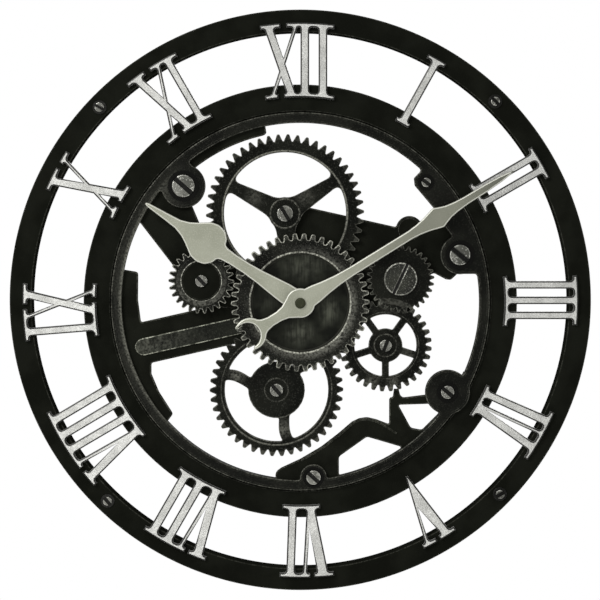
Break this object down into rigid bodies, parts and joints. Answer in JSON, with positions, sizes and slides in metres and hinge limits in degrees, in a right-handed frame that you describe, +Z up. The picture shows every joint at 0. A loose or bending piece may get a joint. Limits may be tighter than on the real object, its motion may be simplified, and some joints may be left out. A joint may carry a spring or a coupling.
{
  "type": "skeleton wall clock",
  "caption": "Open skeleton wall clock with silver Roman numerals on two black rings, cast gears on plates, two hands and a battery quartz movement.",
  "frame": {"origin": "the point of the wall plane behind the hands' axis", "axes": "+X to the right and +Z up as seen from in front, +Y into the wall, so the dial faces -Y"},
  "size_m": [0.635, 0.0426, 0.635],
  "materials": {
    "black_enamel": "black enamel with a slight sheen",
    "dark_pewter": "dark patinated casting with rubbed bright edges",
    "hammered_silver": "finely hammered silver with a dark bevelled border",
    "bright_steel": "worn steel",
    "warm_grey_metal": "satin warm grey",
    "brass": "plain brass",
    "black_plastic": "moulded black",
    "white_plastic": "moulded white",
    "board_green": "green circuit board",
    "copper_wire": "enamelled copper winding",
    "magnet_grey": "sintered magnet",
    "battery_wrap": "plain printed wrap"
  },
  "bodies": {
    "clock": {"outer_ring": "black_enamel", "chapter_ring": "black_enamel", "main_bridge": "black_enamel", "upper_left_bridge": "black_enamel", "right_bridge": "black_enamel", "lower_bridge": "black_enamel", "trim_ring": "dark_pewter", "inlay_bar": "dark_pewter", "upper_gear": "dark_pewter", "centre_gear": "dark_pewter", "left_gear": "dark_pewter", "right_gear": "dark_pewter", "lower_right_gear": "dark_pewter", "lower_gear": "dark_pewter", "numeral_01": "hammered_silver", "numeral_02": "hammered_silver", "numeral_03": "hammered_silver", "numeral_04": "hammered_silver", "numeral_05": "hammered_silver", "numeral_06": "hammered_silver", "numeral_07": "hammered_silver", "numeral_08": "hammered_silver", "numeral_09": "hammered_silver", "numeral_10": "hammered_silver", "numeral_11": "hammered_silver", "numeral_12": "hammered_silver", "upper_gear_screw": "bright_steel", "left_gear_screw": "bright_steel", "right_gear_screw": "bright_steel", "lower_right_gear_screw": "bright_steel", "lower_gear_screw": "bright_steel", "upper_left_lug_screw": "bright_steel", "upper_right_lug_screw": "bright_steel", "right_lug_screw": "bright_steel", "lower_right_lug_screw": "bright_steel", "bottom_lug_screw": "bright_steel", "ring_screw_upper_left": "bright_steel", "ring_screw_upper_right": "bright_steel", "ring_screw_lower_right": "bright_steel", "ring_screw_lower_left": "bright_steel", "hanger_plate": "bright_steel", "stator": "bright_steel", "mounting_nut": "brass", "movement_case": "black_plastic", "rear_cover": "black_plastic", "circuit_board": "board_green", "coil": "copper_wire"},
    "minute_group": {"minute_hand": "warm_grey_metal", "centre_arbor": "bright_steel", "hand_nut": "dark_pewter"},
    "hour_group": {"hour_hand": "warm_grey_metal", "hour_wheel": "white_plastic"},
    "motion_work": {"minute_wheel": "white_plastic", "set_knob": "white_plastic"},
    "seconds": {"seconds_wheel": "white_plastic"},
    "third": {"third_wheel": "white_plastic"},
    "centre": {"centre_wheel": "brass"},
    "intermediate": {"intermediate_wheel": "white_plastic"},
    "stepping_rotor": {"rotor": "magnet_grey"},
    "cell": {"battery": "battery_wrap"}
  },
  "joints": [
    {"name": "minute_spin", "type": "hinge", "parent": "clock", "child": "minute_group", "pos_m": [0, 0, 0], "axis": [0, 1, 0], "continuous": true},
    {"name": "hour_spin", "type": "hinge", "parent": "clock", "child": "hour_group", "pos_m": [0, 0, 0], "axis": [0, 1, 0], "continuous": true},
    {"name": "motion_work_spin", "type": "hinge", "parent": "clock", "child": "motion_work", "pos_m": [0.01129, 0, 0.00652], "axis": [0, 1, 0], "continuous": true},
    {"name": "seconds_spin", "type": "hinge", "parent": "clock", "child": "seconds", "pos_m": [0, 0, 0], "axis": [0, 1, 0], "continuous": true},
    {"name": "third_spin", "type": "hinge", "parent": "clock", "child": "third", "pos_m": [-0.0113, 0, 0.00303], "axis": [0, 1, 0], "continuous": true},
    {"name": "centre_wheel_spin", "type": "hinge", "parent": "clock", "child": "centre", "pos_m": [0, 0, 0], "axis": [0, 1, 0], "continuous": true},
    {"name": "intermediate_spin", "type": "hinge", "parent": "clock", "child": "intermediate", "pos_m": [0.00303, 0, 0.00932], "axis": [0, 1, 0], "continuous": true},
    {"name": "rotor_spin", "type": "hinge", "parent": "clock", "child": "stepping_rotor", "pos_m": [0.00487, 0, 0.01439], "axis": [0, 1, 0], "continuous": true},
    {"name": "battery_slide", "type": "slide", "parent": "clock", "child": "cell", "axis": [0, 1, 0], "range_m": [0, 0.02]}
  ],
  "couplings": [
    {"joint": "hour_spin", "follows": "minute_spin", "ratio": 0.083333},
    {"joint": "motion_work_spin", "follows": "minute_spin", "ratio": -0.33333},
    {"joint": "third_spin", "follows": "seconds_spin", "ratio": -0.13333},
    {"joint": "centre_wheel_spin", "follows": "seconds_spin", "ratio": 0.016667},
    {"joint": "intermediate_spin", "follows": "seconds_spin", "ratio": -6},
    {"joint": "rotor_spin", "follows": "seconds_spin", "ratio": 30}
  ]
}
